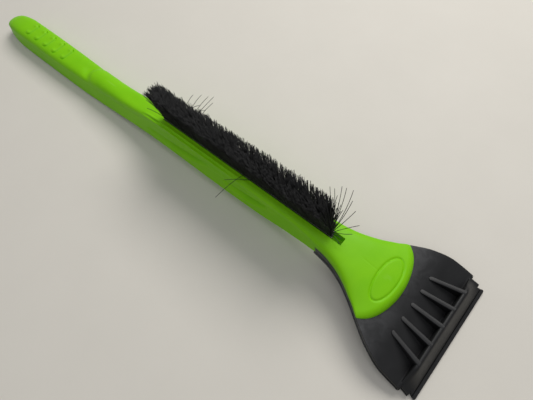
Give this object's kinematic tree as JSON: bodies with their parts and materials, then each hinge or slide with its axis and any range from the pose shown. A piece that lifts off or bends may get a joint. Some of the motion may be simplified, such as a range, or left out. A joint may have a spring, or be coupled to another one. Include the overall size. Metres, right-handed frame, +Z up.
{
  "type": "windshield ice scraper",
  "caption": "Long hand-held windshield ice scraper with a fan-shaped scraper head and a strip snow brush set into the handle.",
  "frame": {"origin": "under the middle of the tool, on the surface that it lies on, bristles up", "axes": "+X along the handle from the grip to the blade edge, +Y across the tool, +Z up, the way the bristles point"},
  "size_m": [0.614, 0.1148, 0.081],
  "materials": {
    "green_plastic": "lime green moulded polypropylene, satin with a fine grain",
    "black_plastic": "black moulded plastic, satin",
    "screw_steel": "zinc plated steel",
    "galvanised_steel": "galvanised steel, dull",
    "black_filament": "black polypropylene filaments, slightly glossy strands"
  },
  "bodies": {
    "root": {"handle": "green_plastic", "scraper_head": "black_plastic", "head_screws": "screw_steel", "brush_channel": "galvanised_steel", "core_wire": "galvanised_steel", "bristle_fill": "black_filament"}
  },
  "joints": []
}
